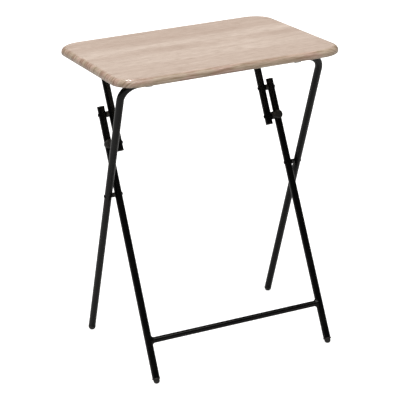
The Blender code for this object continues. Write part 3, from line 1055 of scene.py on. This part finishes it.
@dataclass
class HingeStraps:
    """Four strips bent round the frames' bars, and the screws that hold them to the board."""

    strip: float = 1.2 * MM
    fold_radius: float = 1.6 * MM
    ear_corner: float = 5 * MM
    edge_break: float = 0.25 * MM

    def outline(self, reach: float, top: float, radius: float) -> list[Pair]:
        """The strip's side view about the hinge axis, as Y and Z.

        Args:
            reach: From the axis to the end of an ear.
            top: The height of the ears' upper face over the axis.
            radius: The bar's radius.

        Returns:
            The closed outline.
        """
        inner = radius + GAP
        outer = inner + self.strip
        under, fold = top - self.strip, self.fold_radius
        left = [(-reach, top), (-reach, under)]
        left += arc(fold, 90, 0, 5, (-outer - fold, under - fold))
        right = arc(fold, 180, 90, 5, (outer + fold, under - fold))
        right += [(reach, under), (reach, top)]
        soft = fold + self.strip
        back = arc(soft, 90, 180, 6, (inner + soft, top - soft))
        front = arc(soft, 0, 90, 6, (-inner - soft, top - soft))
        return left + arc(outer, 180, 360, 32) + right + back + arc(inner, 360, 180, 32) + front

    def strap(self, name: str, node: str, hinge: Vector, radius: float) -> Mesh:
        """One strap, its ears rounded in plan and its edges broken."""
        low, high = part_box(node)
        centre, size = middle(node), high - low
        side_view = self.outline(size.y / 2, high.z - hinge.z, radius)
        outline = [(low.x, hinge.y + y, hinge.z + z) for y, z in side_view]
        strip = prism(name, outline, X_AXIS * size.x)
        plan = [
            (*(centre.xy + corner + outward * self.ear_corner), low.z - MM)
            for corner, outward in round_corners(size / 2, self.ear_corner, 10)
        ]
        blank = prism(f"{name} blank", plan, Z_AXIS * (size.z + 2 * MM))
        shape = helper_object(name, carved(name, strip, [("INTERSECT", blank)]))
        limit = {"limit_method": "ANGLE", "angle_limit": math.radians(50)}
        add_modifier(shape, "BEVEL", width=self.edge_break, segments=2, **limit)
        return settled(shape)

    def build(self, linkage: Linkage) -> None:
        """Makes the straps and their screws."""
        finish, sizes = ZincPlate(), ScrewSizes()
        seats, screws = [], []
        for row, hinge in (("front", linkage.front_hinge), ("rear", linkage.rear_hinge)):
            for side in Side:
                node = f"hinge_bracket_{row}_{side.label}"
                name = f"hinge_strap_{row}_{side.label}"
                mesh = self.strap(name, node, hinge, linkage.tube_radius)
                place_piece(name, mesh, Body.TABLETOP, finish, [node], sharp=50)
                for ear in ("front", "rear"):
                    screw = f"bracket_screw_{row}_{side.label}_{ear}"
                    low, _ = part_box(screw)
                    seats.append(Vector((*middle(screw).xy, low.z + sizes.height)))
                    screws.append(screw)
        mesh = sizes.grow("strap_screws", screw_tree(), guide_mesh("seats", seats, []), finish)
        place_piece("strap_screws", mesh, Body.TABLETOP, finish, screws)


@dataclass
class Caps:
    """The moulded plugs and feet that close the tubes' ends."""

    bore: float
    tube_radius: float
    finish: Finish = MouldedPlastic()
    stem: float = 9 * MM
    # The plugs: how much wider than the tube their heads are, how deep, how much they rise
    # to the middle and how much of that is left halfway, and their rims' roundings.
    head_over: float = 0.5 * MM
    head_depth: float = 2.0 * MM
    crown: float = 0.25 * MM
    half_crown: float = 0.19 * MM
    inner_rim: float = 0.3 * MM
    rim: float = 0.8 * MM
    # The rear feet: how much wider than the tube they are, how high their domes start, and
    # the rounding at their top.
    skirt_over: float = 0.2 * MM
    rear_dome: float = 8 * MM
    skirt_round: float = 0.5 * MM
    # The front feet: a flange under the tube's end, and a narrower glide below it.
    flange: float = 8.8 * MM
    flange_depth: float = 3.0 * MM
    flange_lip: float = 0.9 * MM
    flange_fillet: float = 0.6 * MM
    glide: float = 6.8 * MM
    front_dome: float = 5.8 * MM

    def plug(self, node: str, end: Vector, outward: Vector, body: Body) -> None:
        """A plug with a thin, softly crowned head, on a tube whose cut end is at end."""
        head, rim, neck = self.tube_radius + self.head_over, self.rim, self.bore - GAP
        profile = [(0, -self.stem), (neck, -self.stem), (neck, GAP)]
        profile += [(head - self.inner_rim, GAP), (head, GAP + self.inner_rim)]
        profile += arc(rim, 0, 75, 6, (head - rim, self.head_depth - rim))
        profile += [(head / 2, self.head_depth + self.half_crown), (0, self.head_depth + self.crown)]
        name = node.replace("plug", "cap")
        place_piece(name, turned(name, profile, end, outward), body, self.finish, [node])

    def foot(
        self, node: str, floor_point: Vector, up: Vector, profile: Sequence[Pair], body: Body
    ) -> None:
        """A foot turned about its leg and worn flat where it stands on the floor."""
        name = node.replace("foot", "foot_cap")
        bm = bmesh.new()
        bm.from_mesh(turned(name, profile, floor_point, up))
        everything = [*bm.verts, *bm.edges, *bm.faces]
        cut = bmesh.ops.bisect_plane(
            bm, geom=everything, plane_co=ORIGIN, plane_no=-Z_AXIS, clear_outer=True
        )["geom_cut"]
        rim = [item for item in cut if isinstance(item, bmesh.types.BMEdge)]
        bmesh.ops.contextual_create(bm, geom=rim)
        place_piece(name, mesh_of(bm, name), body, self.finish, [node])

    def dome_and_stem(self, dome: list[Pair], dome_z: float, flank: list[Pair], top: float) -> list[Pair]:
        """A foot's profile: a dome on the floor, the given flank, and a stem inside the tube."""
        profile = [(x, dome_z - along) for x, along in reversed(dome)]
        profile[0] = (0, profile[0][1])
        neck, end = self.bore - GAP, top + 2 * self.stem
        return [*profile, *flank, (neck, top), (neck, end), (0, end)]

    def rear_profile(self, length: float) -> list[Pair]:
        """A dome as wide as the tube and a straight skirt."""
        head, top, rim = self.tube_radius + self.skirt_over, length - GAP, self.skirt_round
        skirt = arc(rim, 0, 90, 4, (head - rim, top - rim))
        return self.dome_and_stem(arc(head, 0, 90, 18), self.rear_dome, skirt, top)

    def front_profile(self, length: float) -> list[Pair]:
        """A narrow round glide and a flange that covers the tube's end."""
        flange, glide, lip, fillet = self.flange, self.glide, self.flange_lip, self.flange_fillet
        top = length - GAP
        under = top - self.flange_depth
        rim = [(glide, under - fillet)]
        rim += arc(fillet, 180, 90, 4, (glide + fillet, under - fillet))
        rim += arc(lip, -90, 0, 5, (flange - lip, under + lip))
        rim += arc(lip, 0, 90, 5, (flange - lip, top - lip))
        return self.dome_and_stem(arc(glide, 0, 90, 16), self.front_dome, rim, top)


@dataclass
class RearLegs:
    """The outer frame: a bar under the board's front edge, bent down into the rear legs."""

    bend: float = 36 * MM

    def build(self, linkage: Linkage, caps: Caps) -> None:
        """Makes the tube, its feet and the outer halves of the scissor pins."""
        body, down, radius = Body.REAR_LEGS, linkage.rear_down, linkage.tube_radius
        end_z = linkage.tube_end("rear_leg_frame", down)
        corners = u_corners(linkage.rear_leg, end_z, linkage.front_hinge.z)
        place_tube("rear_leg_tube", corners, radius, self.bend, body, "rear_leg_frame")
        rivets = Rivets()
        for side in Side:
            floor_point = linkage.rear_leg(0, side)
            profile = caps.rear_profile((linkage.rear_leg(end_z, side) - floor_point).length)
            caps.foot(f"rear_foot_{side.label}", floor_point, -down, profile, body)
            washer = f"scissor_washer_outer_{side.label}"
            place_spacer(washer, body, caps.finish)
            split = min(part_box(washer), key=lambda corner: abs(corner.x)).x
            head = side.value * (linkage.rear_leg_x + radius)
            near, far = at_x(linkage.scissor, split), at_x(linkage.scissor, head)
            rivets.add(f"scissor_rivet_outer_{side.label}", near, far, False, True)
        rivets.build("scissor_rivets_outer", body)


@dataclass
class SnapClip:
    """A moulded clip on a link's tail: a round block that snaps over the front of the leg."""

    block_radius: float = 10 * MM
    depth: float = 10.3 * MM
    rounding: float = 3.4 * MM
    crown: float = 0.1 * MM
    boss_radius: float = 8.5 * MM
    # How far inboard of the leg's axis the boss ends, inside the block.
    boss_end: float = 8.8 * MM
    groove_reach: float = 30 * MM
    voxel: float = 0.35 * MM

    def build(self, linkage: Linkage, side: Side, finish: Finish) -> None:
        """Makes one clip."""
        z = middle(f"clip_rivet_{side.label}").z
        leg = linkage.front_leg(z, side)
        down = linkage.front_down(side)
        forward = down.cross(X_AXIS).normalized()
        if forward.y > 0:
            forward = -forward
        name = f"leg_clip_{side.label}"
        corner = (self.block_radius - self.rounding, self.depth - self.rounding)
        top = self.depth + self.crown
        profile = [(0, 0), (self.block_radius, 0), *arc(self.rounding, 0, 80, 8, corner)]
        profile += [(self.block_radius * 0.4, top), (0, top)]
        block = turned(name, profile, leg, forward, sides=64)
        grip = linkage.tube_radius + GAP
        inner = linkage.link(z, side) + X_AXIS * side.value * grip
        outer = at_x(leg, leg.x - side.value * self.boss_end)
        boss = rod("boss", self.boss_radius, inner, outer)
        reach = down * self.groove_reach
        groove = rod("groove", grip, leg - reach, leg + reach)
        raw = carved(name, block, [("UNION", boss), ("DIFFERENCE", groove)])
        clip = helper_object(name, raw)
        add_modifier(clip, "REMESH", mode="VOXEL", voxel_size=self.voxel)
        add_modifier(clip, "SMOOTH", factor=0.5, iterations=4)
        place_piece(name, settled(clip), Body.UPPER_LINKS, finish, [f"snap_clip_{side.label}"], sharp=60)


@dataclass
class UpperLinks:
    """The inner frame: a bar under the board's rear edge, bent down into the two upper links."""

    bend: float = 36 * MM
    spacer_round: float = 0.6 * MM

    def build(self, linkage: Linkage, caps: Caps) -> None:
        """Makes the tube, its plugs and clips, the knee pins and their spacers."""
        body, down, radius, knee = Body.UPPER_LINKS, linkage.link_down, linkage.tube_radius, linkage.knee
        end_z = linkage.tube_end("upper_link_frame", down)
        corners = u_corners(linkage.link, end_z, linkage.rear_hinge.z)
        place_tube("link_tube", corners, radius, self.bend, body, "upper_link_frame")
        rivets = Rivets()
        for side in Side:
            caps.plug(f"link_tail_plug_{side.label}", linkage.link(end_z, side), down, body)
            SnapClip().build(linkage, side, caps.finish)
            place_spacer(f"knee_washer_{side.label}", body, caps.finish, self.spacer_round)
            inboard = side.value * (linkage.link_x - radius)
            outboard = linkage.front_leg(knee.z, side).x + side.value * radius
            near, far = at_x(knee, inboard), at_x(knee, outboard)
            rivets.add(f"knee_rivet_{side.label}", near, far, True, True)
            tail = linkage.link(middle(f"clip_rivet_{side.label}").z, side)
            # The clips' rivets end inside the bosses, half a tube past the links.
            hidden = inboard + side.value * 3 * radius
            near, far = at_x(tail, inboard), at_x(tail, hidden)
            rivets.add(f"clip_rivet_{side.label}", near, far, True, False)
        rivets.build("link_rivets", body)


@dataclass
class CrossbarWeld:
    """A fillet of weld round the crossbar where it meets a leg, rippled by the torch."""

    leg_throat: float = 4.2 * MM
    bar_throat: float = 4.6 * MM
    side_share: float = 0.97
    sides: int = 96
    steps: int = 8
    ripples: int = 17
    ripple_height: float = 0.12 * MM
    # How far the bead's face is pulled in towards the corner, from 0 for flat to 1.
    hollow: float = 0.62
    # How deep the bead's root lies inside the bar and the leg.
    root: float = 1 * MM

    def mesh(
        self, name: str, joint: Vector, inward: Vector, down: Vector, leg: float, bar: float
    ) -> Mesh:
        """The bead as one closed ring.

        Args:
            name: The mesh's name.
            joint: Where the bar's axis meets the leg's.
            inward: Along the bar, away from the leg.
            down: Down the leg.
            leg: The leg's radius.
            bar: The bar's radius.

        Returns:
            The bead's mesh.
        """
        across = inward.cross(down).normalized()
        bm = bmesh.new()
        rings = []
        for index in range(self.sides):
            angle = math.tau * index / self.sides
            c, s = math.cos(angle), math.sin(angle)
            ripple = self.ripple_height * math.sin(self.ripples * angle)
            at_leg = (self.side_share * leg * c, (bar + self.leg_throat) * s)
            toe = (math.sqrt(max(leg**2 - at_leg[0] ** 2, 0.0)), *at_leg)
            seat = math.sqrt(leg**2 - (bar * c) ** 2)
            crest = (seat + self.bar_throat, bar * c, bar * s)
            corner = (seat, bar * c, bar * s)
            root = (seat - 2 * self.root, (bar - self.root) * c, (bar - self.root) * s)
            ring = []
            for step in range(self.steps + 1):
                t = step / self.steps
                lift = 1 + ripple / bar * math.sin(math.pi * t)
                control = [
                    self.hollow * k + (1 - self.hollow) * (a + b) / 2
                    for k, a, b in zip(corner, toe, crest)
                ]
                x, y, z = (
                    (1 - t) ** 2 * a + 2 * t * (1 - t) * k + t**2 * b
                    for a, k, b in zip(toe, control, crest)
                )
                ring.append((x, y * lift, z * lift))
            ring.append(root)
            rings.append([bm.verts.new(joint + inward * x + across * y + down * z) for x, y, z in ring])
        ring_strip(bm, rings, closed=True)
        return mesh_of(bm, name)


@dataclass
class FrontLegs:
    """The middle frame: two front legs with a crossbar welded between them."""

    bar_radius: float = 6.35 * MM
    # How far from a leg's axis the crossbar's tube stops, inside the leg.
    bar_stop: float = 4 * MM

    def build(self, linkage: Linkage, caps: Caps) -> None:
        """Makes the legs, crossbar, welds, feet, plugs and the inner halves of the scissor pins."""
        body, radius, scissor = Body.FRONT_LEGS, linkage.tube_radius, linkage.scissor
        bar_z = middle("front_crossbar").z
        stops, rivets = [], Rivets()
        for side in Side:
            label, down = side.label, linkage.front_down(side)
            leg = f"front_leg_{label}"
            bottom = linkage.front_leg(linkage.tube_end(leg, down), side)
            top = linkage.front_leg(linkage.tube_end(leg, down, upper=True), side)
            place_tube(f"front_leg_tube_{label}", [bottom, top], radius, 0, body, leg)
            caps.plug(f"leg_top_plug_{label}", top, -down, body)
            floor_point = linkage.front_leg(0, side)
            profile = caps.front_profile((bottom - floor_point).length)
            caps.foot(f"front_foot_{label}", floor_point, -down, profile, body)
            joint, inward = linkage.front_leg(bar_z, side), X_AXIS * -side.value
            stops.append(joint + inward * self.bar_stop)
            name = f"crossbar_weld_{label}"
            mesh = CrossbarWeld().mesh(name, joint, inward, down, radius, self.bar_radius)
            place_piece(name, mesh, body, PowderCoat(), ["front_crossbar"], sharp=80)
            washer = f"scissor_washer_inner_{label}"
            place_spacer(washer, body, caps.finish)
            split = max(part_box(washer), key=lambda corner: abs(corner.x)).x
            head = linkage.front_leg(scissor.z, side).x - side.value * radius
            near, far = at_x(scissor, head), at_x(scissor, split)
            rivets.add(f"scissor_rivet_inner_{label}", near, far, True, False)
        place_tube("crossbar_tube", stops, self.bar_radius, 0, body, "front_crossbar")
        rivets.build("scissor_rivets_inner", body)


# Studio


@dataclass
class Studio:
    """The floor, the lights and the camera."""

    azimuth: float = -22.835
    elevation: float = 19.029
    roll: float = -3.205
    distance: float = 3.4222
    lens: float = 142.38
    target: Vector = Vector((-0.01354, 0, 0.32328))
    floor_radius: float = 30.0
    room_light: float = 0.06

    def camera(self) -> None:
        """Puts the camera on its circle round the table."""
        azimuth, elevation = math.radians(self.azimuth), math.radians(self.elevation)
        back = Vector((
            math.sin(azimuth) * math.cos(elevation),
            -math.cos(azimuth) * math.cos(elevation),
            math.sin(elevation),
        ))
        camera = bpy.data.objects.new("camera", bpy.data.cameras.new("camera"))
        camera.data.lens = self.lens
        camera.data.sensor_width = 36
        camera.data.clip_end = 100
        turn = back.to_track_quat("Z", "Y").to_matrix() @ Matrix.Rotation(math.radians(self.roll), 3, "Z")
        camera.matrix_world = Matrix.Translation(self.target + back * self.distance) @ turn.to_4x4()
        bpy.context.scene.collection.objects.link(camera)
        bpy.context.scene.camera = camera

    def floor(self) -> None:
        """A wide round sheet of paper."""
        bm = bmesh.new()
        bmesh.ops.create_circle(bm, cap_ends=True, segments=128, radius=self.floor_radius)
        floor = helper_object("studio_floor", mesh_of(bm, "studio_floor"))
        floor.data.materials.append(StudioPaper().material())

    def sun(self, name: str, strength: float, angle: float, toward: Vector, colour: str) -> None:
        """A soft light from very far away.

        Args:
            name: The light's name.
            strength: Its strength.
            angle: How wide it looks, in degrees: wider is softer.
            toward: The way that its light travels.
            colour: Its colour.
        """
        light = bpy.data.lights.new(name, "SUN")
        light.energy = strength
        light.angle = math.radians(angle)
        light.color = linear(colour)[:3]
        obj = bpy.data.objects.new(name, light)
        obj.rotation_euler = toward.to_track_quat("-Z", "Y").to_euler()
        bpy.context.scene.collection.objects.link(obj)

    def build(self) -> None:
        """Makes the whole studio."""
        self.camera()
        self.floor()
        self.sun("overhead", 2.88, 60, Vector((0.15, 0.25, -1)), "#fffdfa")
        # A narrow light from behind, which the near corner's rounded edge mirrors.
        self.sun("rear", 1.0, 8, Vector((-0.02, -0.49, -0.87)), "#ffffff")
        world = bpy.data.worlds.new("room")
        world.use_nodes = True
        background = world.node_tree.nodes["Background"]
        background.inputs["Color"].default_value = (1, 1, 1, 1)
        background.inputs["Strength"].default_value = self.room_light
        scene = bpy.context.scene
        scene.world = world
        scene.view_settings.view_transform = "Standard"


def main() -> None:
    """Builds the studio and then each sub-assembly of the table."""
    logging.basicConfig(level=logging.INFO, format="%(name)s %(message)s")
    Studio().build()
    linkage = Linkage.from_frame()
    caps = Caps(bore=linkage.tube_radius - TUBE_WALL, tube_radius=linkage.tube_radius)
    Board().build()
    HingeStraps().build(linkage)
    RearLegs().build(linkage, caps)
    UpperLinks().build(linkage, caps)
    FrontLegs().build(linkage, caps)


if __name__ == "__main__":
    main()
